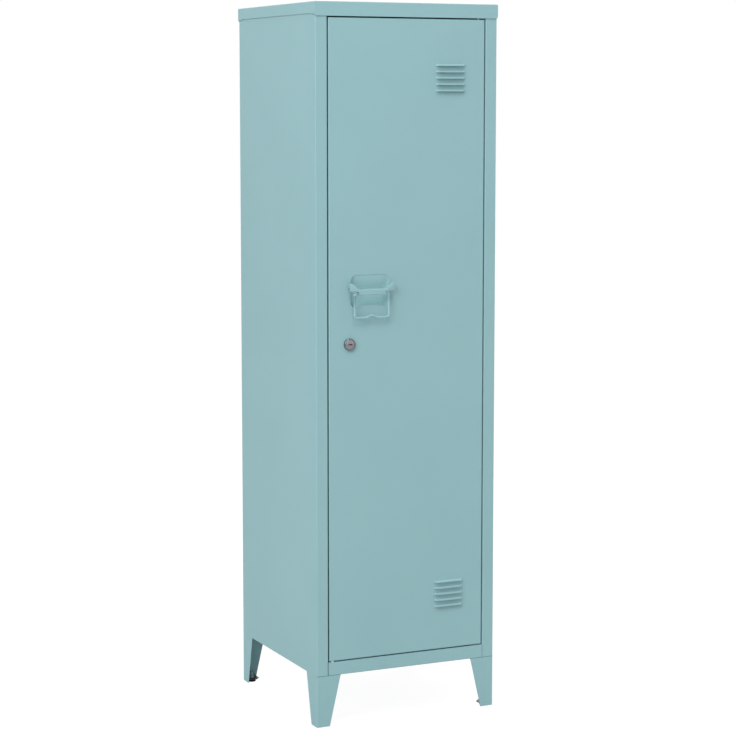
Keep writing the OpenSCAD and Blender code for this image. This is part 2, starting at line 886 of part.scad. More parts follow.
// Space under a louvre from z = low upwards, and on through the door's face
module louvre_inside(low) {
    louvre_wedge(louvre_w / 2 - fold_in(louvre_end_slope), louvre_out - sheet, low,
        louvre_lip - fold_in(louvre_slope), sheet + through);
}

module each_louvre() {
    for (block_z = [upper_louvre_z, lower_louvre_z], k = [0:louvre_count - 1])
        translate([louvre_x, 0, block_z + louvre_first + k * louvre_pitch]) children();
}

dish_top = handle_z + dish_rise;
dish_corner_r = 12;
// Radius of the arc at the bottom of the hollow, from its rise over the hollow's width
dish_arc_r = (pow(dish_w / 2, 2) + pow(dish_arc_rise, 2)) / (2 * dish_arc_rise);

dish_plate_t = 0.05;

// Thin plate of the hollow's outline, with its front at y
module dish_plate(y, half, low, high, r) {
    translate([handle_x, y, (low + high) / 2])
        stand_up(dish_plate_t) round_rect(2 * half, high - low, r, $fn = 32);
}

// Hollow pressed in behind the handle, grown outwards by grow for the outside of the sheet
module dish(grow) {
    wall = 5;
    upper_slope = 30;
    bottom = dish_top - dish_h;
    near_y = -grow;
    far_y = dish_depth + grow;
    // How far the walls move in from the door's face to any depth, and how far growing moves them out
    wall_rate = wall / dish_depth;
    slope_rate = upper_slope / dish_depth;
    wall_out = grow * sqrt(1 + pow(wall_rate, 2));
    slope_out = grow * sqrt(1 + pow(slope_rate, 2));
    bump_r = dish_arc_r - wall_out;
    difference() {
        hull() for (y = [near_y, far_y])
            dish_plate(y == near_y ? y : y - dish_plate_t, dish_w / 2 - wall_rate * y + wall_out,
                bottom + wall_rate * y - wall_out, dish_top - slope_rate * y + slope_out,
                dish_corner_r - wall_rate * y + wall_out);
        // The bottom wall bows upwards in the middle
        translate([handle_x, near_y, bottom + dish_arc_rise - dish_arc_r])
            rotate([-90, 0, 0])
                cylinder(r1 = bump_r + wall_rate * near_y, r2 = bump_r + wall_rate * (far_y + grow),
                    h = far_y + grow - near_y, $fn = 180);
    }
}

handle_screw_inset = 3.2;
handle_screw_rise = 11;
handle_screw_x = bracket_w / 2 - handle_screw_inset;
handle_screw_z = handle_z + handle_screw_rise;
handle_screw_d = 2.5;
handle_screw_head_d = 4.5;

// Face of the door with its edges folded back, pressed louvres and the hollow for the handle
module door_skin() {
    color(painted) in_place() difference() {
        union() {
            difference() {
                door_block(0);
                door_block(sheet);
                each_louvre() louvre_inside(0);
                dish(0);
            }
            for (sx = [-1, 1])
                block([min(sx * door_half, sx * (door_half - door_lip_w)), door_t - sheet, door_bottom],
                    [max(sx * door_half, sx * (door_half - door_lip_w)), door_t, door_top]);
            each_louvre() difference() {
                louvre_outside();
                louvre_inside(-through);
            }
            intersection() {
                difference() {
                    dish(sheet);
                    dish(0);
                }
                block([-door_half, 0, door_bottom], [door_half, door_t, door_top]);
            }
        }
        for (z = [door_top, door_bottom])
            translate([pin_x, hinge_depth, z - through])
                cylinder(d = pin_d + 2 * pin_clear, h = 2 * through);
        translate([lock_x, -through, lock_z]) rod_y(barrel_d / 2 + hole_clear, sheet + 2 * through);
        for (sx = [-1, 1])
            translate([handle_x + sx * handle_screw_x, -through, handle_screw_z])
                rod_y(handle_screw_d / 2 + hole_clear, sheet + 2 * through);
    }
}

// The door's outer block, or the hollow behind its face when inset by the sheet
module door_block(inset) {
    half = door_half - inset;
    bottom = door_bottom + inset;
    top = door_top - inset;
    back = inset > 0 ? door_t + through : door_t;
    r = door_fold_r - inset;
    intersection() {
        // Plan with its two front corners round
        translate([0, 0, bottom - through]) linear_extrude(height = top - bottom + 2 * through) {
            translate([-half, inset + r]) square([2 * half, back - inset - r]);
            translate([-half + r, inset]) square([2 * half - 2 * r, back - inset]);
            for (x = [-half + r, half - r]) translate([x, inset + r]) circle(r = r);
        }
        // Side view with its two front corners round
        run_along_x(2 * (half + through)) {
            translate([inset + r, bottom]) square([back - inset - r, top - bottom]);
            translate([inset, bottom + r]) square([back - inset, top - bottom - 2 * r]);
            for (z = [bottom + r, top - r]) translate([inset + r, z]) circle(r = r);
        }
    }
}

// Hat-shaped stiffener behind the door's face, between the handle's screws and the louvres
module door_stiffener() {
    low_x = handle_x + handle_screw_x + handle_screw_head_d / 2 + stiffener_clear;
    high_x = louvre_x - louvre_w / 2 - louvre_end - stiffener_clear;
    stiffener_x = (low_x + high_x) / 2;
    stiffener_w = high_x - low_x;
    end_gap = 24;
    foot_w = 9;
    web_w = stiffener_w - 2 * foot_w;
    color(painted) in_place()
        translate([stiffener_x, sheet, door_bottom + end_gap])
            linear_extrude(height = door_top - door_bottom - 2 * end_gap) {
                for (sx = [-1, 1]) {
                    translate([sx * (stiffener_w - foot_w) / 2, sheet / 2])
                        square([foot_w, sheet], center = true);
                    translate([sx * (web_w / 2 + sheet / 2), stiffener_d / 2])
                        square([sheet, stiffener_d], center = true);
                }
                translate([0, stiffener_d - sheet / 2]) square([web_w + 2 * sheet, sheet], center = true);
            }
}

// Handle

wire_r = wire_d / 2;
bend_swell = 0.05;
bend_overlap = 0.5;
bore_set_back = 0.2;
bore_wall = 1.6;
pivot_y = -bracket_out + bracket_bar_d / 2 + bore_set_back;
bar_low = -wire_r - bore_wall;

// Outline of the bracket as seen from the front, with the pivot at the origin
module bracket_outline() {
    ear_w = bracket_w / 2;
    bar_x = bracket_bar_w / 2;
    bar_high = bar_low + bracket_bar_h;
    ear_low = 3.6;
    ear_high = 19;
    join_w = 4;
    root_w = 3.5;
    root_h = 1.5;
    low_cut = 1.2;
    tip_cut = 3;
    tip_shoulder_w = 1.2;
    tip_shoulder_h = 0.8;
    slope_w = 6;
    slope_foot = 2;
    for (sx = [-1, 1])
        polygon([
            [sx * (bar_x - join_w), bar_low],
            [sx * bar_x, bar_low],
            [sx * bar_x, ear_low - root_h],
            [sx * (bar_x + root_w), ear_low],
            [sx * (ear_w - low_cut), ear_low],
            [sx * ear_w, ear_low + low_cut],
            [sx * ear_w, ear_high - tip_cut],
            [sx * (ear_w - tip_shoulder_w), ear_high - tip_shoulder_h],
            [sx * (ear_w - tip_cut), ear_high],
            [sx * (ear_w - slope_w), ear_high - tip_shoulder_h],
            [sx * (bar_x + slope_foot), bar_high + slope_foot / 2],
            [sx * (bar_x - join_w), bar_high]
        ]);
}

// Cast bracket: a bar bored for the bail's two ends, with an ear at each side
module handle_bracket() {
    boss_r = 3.2;
    bar_r = 1.6;
    thread_stop = 3;
    color(painted) in_place() translate([handle_x, 0, handle_z]) difference() {
        union() {
            translate([0, -bracket_out, 0]) stand_up(ear_t) bracket_outline();
            translate([0, -bracket_out + bracket_bar_d / 2, bar_low + bracket_bar_h / 2])
                run_along_x(bracket_bar_w) round_rect(bracket_bar_d, bracket_bar_h, bar_r);
            for (sx = [-1, 1])
                translate([sx * handle_screw_x, -bracket_out, handle_screw_z - handle_z])
                    rod_y(boss_r, bracket_out);
        }
        translate([0, pivot_y, 0]) rotate([0, 90, 0])
            cylinder(r = wire_r - bend_swell + pin_clear, h = bracket_w, center = true);
        for (sx = [-1, 1])
            translate([sx * handle_screw_x, -bracket_out + thread_stop, handle_screw_z - handle_z])
                rod_y(handle_screw_d / 2 + pin_clear, bracket_out);
    }
}

module handle_screws() {
    head_h = 1.8;
    shank_l = 7;
    color(zinc) in_place() for (sx = [-1, 1])
        translate([handle_x + sx * handle_screw_x, sheet, handle_screw_z]) {
            rod_y(handle_screw_head_d / 2, head_h);
            translate([0, -shank_l, 0]) rod_y(handle_screw_d / 2, shank_l);
        }
}

// Straight wire that starts at the origin and rises towards +X at the given angle.
// It runs a little way into the bends at its ends, which are thicker by a hair.
module wire(length, angle) {
    rotate([0, 90 - angle, 0]) translate([0, 0, -bend_overlap])
        cylinder(r = wire_r - bend_swell, h = length + 2 * bend_overlap);
}

// Bend with its centre at the origin, from start to end degrees, counted from +X to +Z
module wire_bend(bend_r, start, end) {
    rotate([0, -start, 0]) rotate([90, 0, 0])
        rotate_extrude(angle = end - start) translate([bend_r, 0]) circle(r = wire_r);
}

// Straight flank between the two bends of each half of the finger notch
notch_flank = (notch_rise - 2 * notch_bend_r * (1 - cos(notch_angle))) / sin(notch_angle);
notch_half = 2 * notch_bend_r * sin(notch_angle) + notch_flank * cos(notch_angle);

// Wire bail whose two upper ends turn in to the bracket's bore
module handle_bail() {
    leg_x = bail_w / 2;
    corner = leg_x - bail_corner_r;
    stub_end = 12;
    low = -bail_drop;
    crest = low + notch_rise - notch_bend_r;
    color(painted) in_place() translate([handle_x, pivot_y, handle_z]) {
        for (sx = [0, 1]) mirror([sx, 0, 0]) {
            translate([stub_end, 0, 0]) wire(corner - stub_end, 0);
            translate([corner, 0, -bail_corner_r]) wire_bend(bail_corner_r, 0, 90);
            translate([leg_x, 0, low + bail_corner_r]) wire(bail_drop - 2 * bail_corner_r, 90);
            translate([corner, 0, low + bail_corner_r]) wire_bend(bail_corner_r, -90, 0);
            translate([notch_half, 0, low]) wire(corner - notch_half, 0);
            translate([notch_half, 0, low + notch_bend_r]) wire_bend(notch_bend_r, -90 - notch_angle, -90);
            translate([notch_bend_r * sin(notch_angle), 0, crest + notch_bend_r * cos(notch_angle)])
                wire(notch_flank, -notch_angle);
        }
        translate([0, 0, crest]) wire_bend(notch_bend_r, 90 - notch_angle, 90 + notch_angle);
    }
}

// Lock

barrel_l = 16;
plug_face_t = 2;
plug_set_back = 0.3;
lock_nut_w = 21;
lock_nut_h = 3;
cam_gap = 0.4;
cam_y = jamb_d + cam_gap;
tang_w = 7;
cam_screw_d = 4;
cam_screw_l = 3;
cam_screw_head_d = 8;
cam_screw_head_h = 2.4;

module at_lock() {
    translate([lock_x, 0, lock_z]) children();
}

module lock_barrel() {
    rim_bevel = 0.8;
    color(zinc) in_place() at_lock() difference() {
        union() {
            translate([0, -lock_rim_out, 0]) rotate([-90, 0, 0]) {
                cylinder(d1 = lock_rim_d - 2 * rim_bevel, d2 = lock_rim_d, h = rim_bevel);
                translate([0, 0, rim_bevel]) cylinder(d = lock_rim_d, h = lock_rim_out - rim_bevel);
            }
            translate([0, -lock_rim_out / 2, 0]) rod_y(barrel_d / 2, barrel_l + lock_rim_out / 2);
        }
        translate([0, -lock_rim_out - through, 0])
            rod_y(plug_face_d / 2 + pin_clear, through + plug_set_back + plug_face_t + pin_clear);
        translate([0, -lock_rim_out, 0]) rod_y(plug_d / 2 + pin_clear, barrel_l + lock_rim_out + through);
    }
}

module lock_nut() {
    color(zinc) in_place() at_lock() translate([0, sheet, 0]) rotate([-90, 0, 0])
        hex_nut(lock_nut_w, lock_nut_h, barrel_d + 2 * pin_clear);
}

// Plug with its keyway, and a square tang at the back for the cam
module lock_plug() {
    face_y = plug_set_back - lock_rim_out;
    keyway_l = 8;
    keyway_h = 1.6;
    keyway_depth = 14;
    key_rib_r = 1.5;
    key_rib_x = 2.8;
    shoulder_y = cam_y - seat_gap;
    color(zinc) in_place() at_lock() difference() {
        union() {
            translate([0, face_y, 0]) rod_y(plug_face_d / 2, plug_face_t);
            translate([0, face_y, 0]) rod_y(plug_d / 2, shoulder_y - face_y);
            translate([0, shoulder_y + (cam_t + seat_gap) / 2, 0])
                cube([tang_w, cam_t + seat_gap, tang_w], center = true);
        }
        block([-keyway_l / 2, face_y - through, -keyway_h / 2],
            [keyway_l / 2, face_y + keyway_depth, keyway_h / 2]);
        translate([key_rib_x, face_y - through, 0]) rod_y(key_rib_r, keyway_depth + through);
        translate([0, cam_y - cam_screw_l - seat_gap, 0])
            rod_y(cam_screw_d / 2 + pin_clear, cam_screw_l + cam_t + 2 * through);
    }
}

// Cam: it hangs down when unlocked, and turned it lies behind the stop flange
module lock_cam() {
    hub_r = cam_w / 2;
    tip_r = 3;
    color(zinc) in_place() at_lock() translate([0, cam_y, 0]) difference() {
        stand_up(cam_t) {
            circle(r = hub_r);
            translate([-cam_w / 2, -cam_l + tip_r]) square([cam_w, cam_l - tip_r]);
            translate([-cam_w / 2 + tip_r, -cam_l]) square([cam_w - 2 * tip_r, cam_l]);
            for (sx = [-1, 1]) translate([sx * (cam_w / 2 - tip_r), -cam_l + tip_r]) circle(r = tip_r);
        }
        cube([tang_w + 2 * pin_clear, 4 * cam_t, tang_w + 2 * pin_clear], center = true);
    }
}

module cam_screw() {
    color(zinc) in_place() at_lock() {
        translate([0, cam_y + cam_t, 0]) rod_y(cam_screw_head_d / 2, cam_screw_head_h);
        translate([0, cam_y - cam_screw_l, 0]) rod_y(cam_screw_d / 2, cam_t + cam_screw_l);
    }
}

top_cap();
left_side();
right_side();
back_panel();
base_pan();
lower_shelf();
middle_shelf();
upper_shelf();
front_left_upright();
front_right_upright();
rear_left_upright();
rear_right_upright();
shelf_clips();
front_left_leg();
front_right_leg();
rear_left_leg();
rear_right_leg();
front_left_foot_plate();
front_right_foot_plate();
rear_left_foot_plate();
rear_right_foot_plate();
foot_nuts();
leg_bolts();
leg_nuts();
cap_studs();
cap_nuts();
back_screws();
upper_hinge_bush();
lower_hinge_bush();
door_rest_pad();
door_buffers();
door_skin();
door_stiffener();
upper_hinge_bracket();
lower_hinge_bracket();
upper_hinge_pin();
lower_hinge_pin();
handle_bracket();
handle_screws();
lock_barrel();
lock_nut();
handle_bail();
lock_plug();
lock_cam();
cam_screw();
front_left_foot();
front_right_foot();
rear_left_foot();
rear_right_foot();
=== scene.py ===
import math

import bpy
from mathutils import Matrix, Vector


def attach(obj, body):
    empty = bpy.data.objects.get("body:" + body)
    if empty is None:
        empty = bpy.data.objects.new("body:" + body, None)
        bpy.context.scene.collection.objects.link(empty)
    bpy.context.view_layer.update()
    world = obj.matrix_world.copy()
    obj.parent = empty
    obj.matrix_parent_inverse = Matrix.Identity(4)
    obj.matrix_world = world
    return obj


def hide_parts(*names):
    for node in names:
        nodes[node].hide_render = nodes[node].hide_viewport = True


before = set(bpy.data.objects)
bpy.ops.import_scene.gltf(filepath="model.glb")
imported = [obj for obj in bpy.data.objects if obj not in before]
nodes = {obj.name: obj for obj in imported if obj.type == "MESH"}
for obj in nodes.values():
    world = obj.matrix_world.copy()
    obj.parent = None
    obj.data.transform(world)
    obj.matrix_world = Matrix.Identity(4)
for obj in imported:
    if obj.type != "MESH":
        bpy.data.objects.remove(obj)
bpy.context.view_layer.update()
print("frame loaded:", len(nodes), "nodes")


# Shader maths: a wrapped socket takes part in plain Python expressions
class Wire:
    def __init__(self, net, socket):
        self.net = net
        self.socket = socket

    def __add__(self, other):
        return self.net.maths("ADD", self, other)

    def __radd__(self, other):
        return self.net.maths("ADD", other, self)

    def __sub__(self, other):
        return self.net.maths("SUBTRACT", self, other)

    def __rsub__(self, other):
        return self.net.maths("SUBTRACT", other, self)

    def __mul__(self, other):
        return self.net.maths("MULTIPLY", self, other)

    def __rmul__(self, other):
        return self.net.maths("MULTIPLY", other, self)


# The node tree of one finish, or of the world
class Net:
    def __init__(self, owner):
        self.owner = owner
        owner.use_nodes = True
        self.tree = owner.node_tree
        self.tree.nodes.clear()

    # Adds a node: its settings first, then the values or links of its sockets; gives its output
    def add(self, kind, settings=None, sockets=None, output=0):
        node = self.tree.nodes.new(kind)
        for name, value in (settings or {}).items():
            if name == "stops":
                self.setStops(node.color_ramp, value)
            else:
                setattr(node, name, value)
        for name, value in (sockets or {}).items():
            if isinstance(value, Wire):
                self.tree.links.new(value.socket, node.inputs[name])
            else:
                node.inputs[name].default_value = value
        return Wire(self, node.outputs[output]) if len(node.outputs) else None

    # The two stops of a ramp, each with its place and its grey
    def setStops(self, ramp, stops):
        for element, (place, grey) in zip(ramp.elements, stops):
            element.position = place
            element.color = (grey, grey, grey, 1)

    def maths(self, operation, a, b=0.0):
        return self.add("ShaderNodeMath", {"operation": operation}, {0: a, 1: b})

    def ramp(self, value, stops):
        return self.add("ShaderNodeValToRGB", {"stops": stops}, {"Fac": value})

    def noise(self, vector, scale, detail=2.0, roughness=0.5):
        return self.add("ShaderNodeTexNoise", None,
                        {"Vector": vector, "Scale": scale, "Detail": detail, "Roughness": roughness})

    def place(self):
        return self.add("ShaderNodeTexCoord", output="Object")

    def facing(self):
        return self.add("ShaderNodeTexCoord", output="Normal")

    def ray(self, kind):
        return self.add("ShaderNodeLightPath", output=kind)

    def axis(self, vector, name):
        return self.add("ShaderNodeSeparateXYZ", None, {"Vector": vector}, name)

    # One where the value lies within reach of the target, otherwise nought
    def near(self, value, target, reach):
        return self.add("ShaderNodeMath", {"operation": "COMPARE"}, {0: value, 1: target, 2: reach})

    # Climbs from low to high while the value goes from start to end
    def rise(self, value, start, end, low=0.0, high=1.0):
        return self.add("ShaderNodeMapRange", {"clamp": True},
                        {"Value": value, "From Min": start, "From Max": end, "To Min": low, "To Max": high})

    def mixColours(self, factor, a, b):
        a, b = (colour if isinstance(colour, Wire) else (*colour, 1) for colour in (a, b))
        return self.add("ShaderNodeMix", {"data_type": "RGBA"}, {0: factor, 6: a, 7: b}, 2)

    # Normal that rounds off the edges of the sheet by the given radius
    def softEdge(self, radius):
        return self.add("ShaderNodeBevel", {"samples": 6}, {"Radius": radius})

    def bump(self, height, distance, strength, normal):
        return self.add("ShaderNodeBump", None,
                        {"Height": height, "Distance": distance, "Strength": strength, "Normal": normal})

    def finish(self, **sockets):
        named = {name.replace("_", " "): value for name, value in sockets.items()}
        shader = self.add("ShaderNodeBsdfPrincipled", None, named)
        self.add("ShaderNodeOutputMaterial", None, {"Surface": shader})
        return self.owner


paintLook = {
    "colour": (0.272, 0.462, 0.488),
    "shade": (0.264, 0.450, 0.476),
    "roughness": 0.5,
    "roughSwing": 0.08,  # how far the peel moves the roughness
    "specular": 0.3,
    "edge": 0.0006,  # rounding of the folded edges
    "cloudScale": 5.0,  # slow drift of the coat's tone
    "cloudStops": [(0.35, 0.0), (0.65, 1.0)],
    "peelScale": 420.0,  # orange peel of the powder coat
    "peelDepth": 0.00005,
    "peelStrength": 0.5,
    "grainScale": 2600.0,
    "grainDepth": 0.000012,
    "grainStrength": 0.4,
    # painted shade, laid along the seams and the door's free edge
    "seamShade": (0.035, 0.055, 0.06),
}

# Painted light: a lighter coat inside the hollow behind the handle, standing in for light from the door round
# it, so the hollow looks less shaded
hollowLightLook = {
    "colour": (0.385, 0.640, 0.675),
    "middle": (-0.078, 0.8315),  # X and Z
    "reach": (0.041, 0.033),  # from the middle, along X and Z
    "front": -0.18475,  # Y of the door's face
    "start": (0.0003, 0.0012),  # behind that face
    "deep": 0.01,  # behind the face, where the share is whole
    "shallow": 0.65,  # share of this coat at the face
    "bracket": (0.826, 0.834),  # Z of the handle bracket's edges
    "low": 0.6,  # share below the bracket
    "sideWall": (0.028, 0.036),  # from the middle along X
    "atSide": 0.3,  # share on the side walls
    "tilt": 0.02,  # lean of the sheet's normal at which it counts as facing out
}


# Share of the hollow's painted light at each spot of the door
def hollowLightMask(net, spot, look):
    depth = net.axis(spot, "Y")
    height = net.axis(spot, "Z")
    side = net.maths("ABSOLUTE", net.axis(spot, "X") - look["middle"][0])
    inside = net.rise(side, *look["sideWall"], 1.0, look["atSide"])
    inside = inside * net.near(side, 0.0, look["reach"][0])
    inside = inside * net.near(height, look["middle"][1], look["reach"][1])
    front = look["front"]
    inside = inside * net.rise(depth, *(front + behind for behind in look["start"]))
    inside = inside * net.rise(depth, front, front + look["deep"], look["shallow"], 1.0)
    # Only the side that faces out, not the back of the sheet
    outward = net.rise(net.axis(net.facing(), "Y"), look["tilt"], -look["tilt"])
    return inside * outward * net.rise(height, *look["bracket"], look["low"], 1.0)


def makePaint(name, look, seamShades=(), hollow=None):
    net = Net(bpy.data.materials.new(name))
    spot = net.place()
    cloud = net.noise(spot, look["cloudScale"], detail=3.0, roughness=0.55)
    colour = net.mixColours(net.ramp(cloud, look["cloudStops"]), look["shade"], look["colour"])
    # painted shade along each seam, where every axis named is within reach of its place
    for seamShade in seamShades:
        mask = seamShade["depth"]
        for axisName, target, reach in seamShade["within"]:
            mask = mask * net.near(net.axis(spot, axisName), target, reach)
        colour = net.mixColours(mask, colour, look["seamShade"])
    # painted light: the lighter coat inside the hollow behind the handle
    if hollow:
        colour = net.mixColours(hollowLightMask(net, spot, hollow), colour, hollow["colour"])
    peel = net.noise(spot, look["peelScale"])
    grain = net.noise(spot, look["grainScale"], detail=1.0)
    coarse = net.bump(peel, look["peelDepth"], look["peelStrength"], net.softEdge(look["edge"]))
    fine = net.bump(grain, look["grainDepth"], look["grainStrength"], coarse)
    return net.finish(Base_Color=colour, Roughness=look["roughness"] + look["roughSwing"] * (peel - 0.5),
                      Specular_IOR_Level=look["specular"], Normal=fine)


# Each painted seam shade lies where every axis named is within reach of its place
# Painted shade darkens the seams where the legs meet the body, and beside the rail under the door
legSeamShade = {"depth": 0.55, "within": [("Y", -0.1846, 0.0016), ("Z", 0.1, 0.0006)]}
railSeamShades = [{"depth": 0.5, "within": [("X", x, 0.0006), ("Y", -0.1837, 0.0025), ("Z", 0.1128, 0.0125)]}
             for x in (-0.1652, 0.1652)]
# Painted shade on the door's free edge just behind its fold, which hardly any light reaches
doorEdgeShade = {"depth": 0.5, "within": [("X", -0.1629, 0.0006), ("Y", -0.18105, 0.0026)]}

paint = makePaint("powderCoat", paintLook)
seamShadedPaint = makePaint("seamShadedPowderCoat", paintLook, [legSeamShade] + railSeamShades)
doorPaintWithPaintedLight = makePaint("doorPowderCoatPaintedLight", paintLook, [doorEdgeShade], hollowLightLook)

metalLook = {"cloudScale": 180.0, "cloudStops": [(0.3, 0.0), (0.7, 1.0)], "roughSwing": 0.12,
             "scratchScale": 2520.0, "scratchDepth": 0.00001, "scratchStrength": 0.5, "edge": 0.0003}


def makeMetal(name, colour, dull, roughness, look=metalLook):
    net = Net(bpy.data.materials.new(name))
    spot = net.place()
    cloud = net.noise(spot, look["cloudScale"], detail=4.0, roughness=0.6)
    scratch = net.noise(spot, look["scratchScale"])
    normal = net.bump(scratch, look["scratchDepth"], look["scratchStrength"], net.softEdge(look["edge"]))
    mottled = net.mixColours(net.ramp(cloud, look["cloudStops"]), dull, colour)
    return net.finish(Base_Color=mottled, Metallic=1.0, Normal=normal,
                      Roughness=roughness + look["roughSwing"] * (cloud - 0.5))


zinc = makeMetal("zincPlate", (0.60, 0.61, 0.62), (0.42, 0.43, 0.45), 0.34)
# painted reflection: the rim's colour is kept dark to stand in for the dark surroundings that the real ring
# reflects
nickelDarkReflection = makeMetal("nickelRimDarkReflection", (0.22, 0.25, 0.27), (0.17, 0.20, 0.22), 0.25)
plugMetal = makeMetal("plugFace", (0.36, 0.335, 0.365), (0.29, 0.27, 0.295), 0.42)

plasticLook = {"grainDepth": 0.00003, "grainStrength": 0.6, "roughSwing": 0.1, "toneScale": 40.0,
               "toneStops": [(0.3, 0.0), (0.7, 1.0)], "dark": 0.88, "edge": 0.0003}
paintedGrain = 700.0
mouldedGrain = 900.0


def makePlastic(name, colour, roughness, grainScale=mouldedGrain, look=plasticLook):
    net = Net(bpy.data.materials.new(name))
    spot = net.place()
    grain = net.noise(spot, grainScale)
    tone = net.noise(spot, look["toneScale"])
    dark = tuple(look["dark"] * c for c in colour)
    normal = net.bump(grain, look["grainDepth"], look["grainStrength"], net.softEdge(look["edge"]))
    mottled = net.mixColours(net.ramp(tone, look["toneStops"]), dark, colour)
    return net.finish(Base_Color=mottled, Normal=normal,
                      Roughness=roughness + look["roughSwing"] * (grain - 0.5))


blackSteel = makePlastic("blackSteel", (0.022, 0.023, 0.025), 0.45, paintedGrain)
greySteel = makePlastic("phosphatedSteel", (0.30, 0.41, 0.43), 0.45, paintedGrain)
blackNylon = makePlastic("blackNylon", (0.018, 0.019, 0.020), 0.5)
whiteNylon = makePlastic("whiteNylon", (0.80, 0.82, 0.80), 0.5)
shadeDarkenedNylon = makePlastic("shadeDarkenedNylon", (0.13, 0.17, 0.17), 0.45)  # painted shade: the nylon darkened to match the shade in the gap under the door
rubber = makePlastic("blackRubber", (0.024, 0.024, 0.024), 0.7)
print("finishes made")

zincNodes = ["cap_studs", "cap_nuts", "leg_nuts", "leg_bolts", "shelf_clips", "back_screws", "handle_screws",
             "upper_hinge_bracket", "lower_hinge_bracket", "upper_hinge_pin",
             "lock_nut", "lock_cam", "cam_screw"]
finishOf = {name: zinc for name in zincNodes}
finishOf.update({
    "door_skin": doorPaintWithPaintedLight, "base_pan": seamShadedPaint, "left_side": seamShadedPaint, "right_side": seamShadedPaint,
    "foot_nuts": greySteel, "lock_barrel": nickelDarkReflection, "lock_plug": plugMetal, "upper_hinge_bush": whiteNylon,
    "lower_hinge_bush": shadeDarkenedNylon, "door_rest_pad": whiteNylon, "door_buffers": rubber,
})
finishOfEnding = {"_leg": seamShadedPaint, "_foot_plate": blackSteel, "_foot": blackNylon}
for name, node in nodes.items():
    finish = finishOf.get(name, paint)
    for ending, endingFinish in finishOfEnding.items():
        if name.endswith(ending):
            finish = endingFinish
    node.data.materials.clear()
    node.data.materials.append(finish)


# Selects these alone, the first of them active
def pick(*pieces):
    bpy.ops.object.select_all(action="DESELECT")
    for piece in pieces:
        piece.select_set(True)
    bpy.context.view_layer.objects.active = pieces[0]


mergeReach = 0.000002  # closes the last ring of a turned shape onto the first


# Turned shape about Z: rings of the profile's (height, radius) pairs, one extruded from the last
def turned(name, profile, sides=48, ring=False):
    bpy.ops.object.select_all(action="DESELECT")
    height, radius = profile[0]
    bpy.ops.mesh.primitive_circle_add(vertices=sides, radius=radius, fill_type="NOTHING",
                                      location=(0, 0, height))
    piece = bpy.context.object
    piece.name = name
    bpy.ops.object.transform_apply(location=True, rotation=True, scale=True)
    bpy.ops.object.mode_set(mode="EDIT")
    bpy.ops.mesh.select_all(action="SELECT")
    steps = profile[1:] + [profile[0]] if ring else profile[1:]
    for nextHeight, nextRadius in steps:
        bpy.ops.mesh.extrude_region_move(TRANSFORM_OT_translate={"value": (0, 0, nextHeight - height)})
        ratio = nextRadius / radius
        bpy.ops.transform.resize(value=(ratio, ratio, 1), center_override=(0, 0, nextHeight))
        height, radius = nextHeight, nextRadius
    bpy.ops.mesh.select_all(action="SELECT")
    if ring:
        bpy.ops.mesh.remove_doubles(threshold=mergeReach)
    else:
        bpy.ops.mesh.fill_holes(sides=0)
    bpy.ops.mesh.select_all(action="SELECT")
    bpy.ops.mesh.normals_make_consistent(inside=False)
    bpy.ops.object.mode_set(mode="OBJECT")
    return piece


# Block with every edge rounded off
def roundedBlock(name, low, high, radius):
    bpy.ops.object.select_all(action="DESELECT")
    middle = [(a + b) / 2 for a, b in zip(low, high)]
    bpy.ops.mesh.primitive_cube_add(size=1, location=middle)
    piece = bpy.context.object
    piece.name = name
    piece.scale = [b - a for a, b in zip(low, high)]
    bpy.ops.object.transform_apply(location=True, rotation=True, scale=True)
    bpy.ops.object.mode_set(mode="EDIT")
    bpy.ops.mesh.select_all(action="SELECT")
    bpy.ops.mesh.bevel(offset=radius, segments=3, affect="EDGES")
    bpy.ops.object.mode_set(mode="OBJECT")
    return piece


# Boolean of one shape with another, which is used up
def carve(piece, tool, operation="DIFFERENCE"):
    pick(piece)
    modifier = piece.modifiers.new("carve", "BOOLEAN")
    modifier.operation = operation
    modifier.solver = "EXACT"
    modifier.object = tool
    bpy.ops.object.modifier_apply(modifier=modifier.name)
    bpy.data.objects.remove(tool, do_unlink=True)
    return piece


def joinAll(name, parts):
    pick(*parts)
    if len(parts) > 1:
        bpy.ops.object.join()
    parts[0].name = name
    return parts[0]


# Turns a shape about the origin, then moves it, and settles both into its mesh
def settle(piece, turn=(0, 0, 0), move=(0, 0, 0)):
    pick(piece)
    piece.rotation_euler = [math.radians(a) for a in turn]
    piece.location = move
    bpy.ops.object.transform_apply(location=True, rotation=True, scale=True)
    return piece


smoothAngle = 32


# Finishes a piece: smooth shading, its material, and the body that it belongs to
def dress(piece, finish, body, slotName, *replaced):
    pick(piece)
    bpy.ops.object.shade_smooth_by_angle(angle=math.radians(smoothAngle))
    piece.data.materials.clear()
    piece.data.materials.append(finish)
    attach(piece, body)
    if replaced:
        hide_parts(*replaced)


# Centre, low and high corner of each separate solid of a frame node, told apart by their distance
def solidsOf(name, reach=0.016):
    groups = []
    for vertex in nodes[name].data.vertices:
        spot = nodes[name].matrix_world @ vertex.co
        for group in groups:
            if (group[0] - spot).length < reach:
                group.append(spot)
                break
        else:
            groups.append([spot])
    found = []
    for group in groups:
        low = Vector([min(p[i] for p in group) for i in range(3)])
        high = Vector([max(p[i] for p in group) for i in range(3)])
        found.append(((low + high) / 2, low, high))
    return found


# The same for a node that is one solid
def solidOf(name):
    return solidsOf(name, reach=0.05)[0]


# One copy of a finished shape at each place, joined into one piece
def spread(name, master, places):
    copies = []
    for turn, move in places:
        copy = master.copy()
        copy.data = master.data.copy()
        bpy.context.scene.collection.objects.link(copy)
        copies.append(settle(copy, turn, move))
    bpy.data.objects.remove(master, do_unlink=True)
    return joinAll(name, copies)


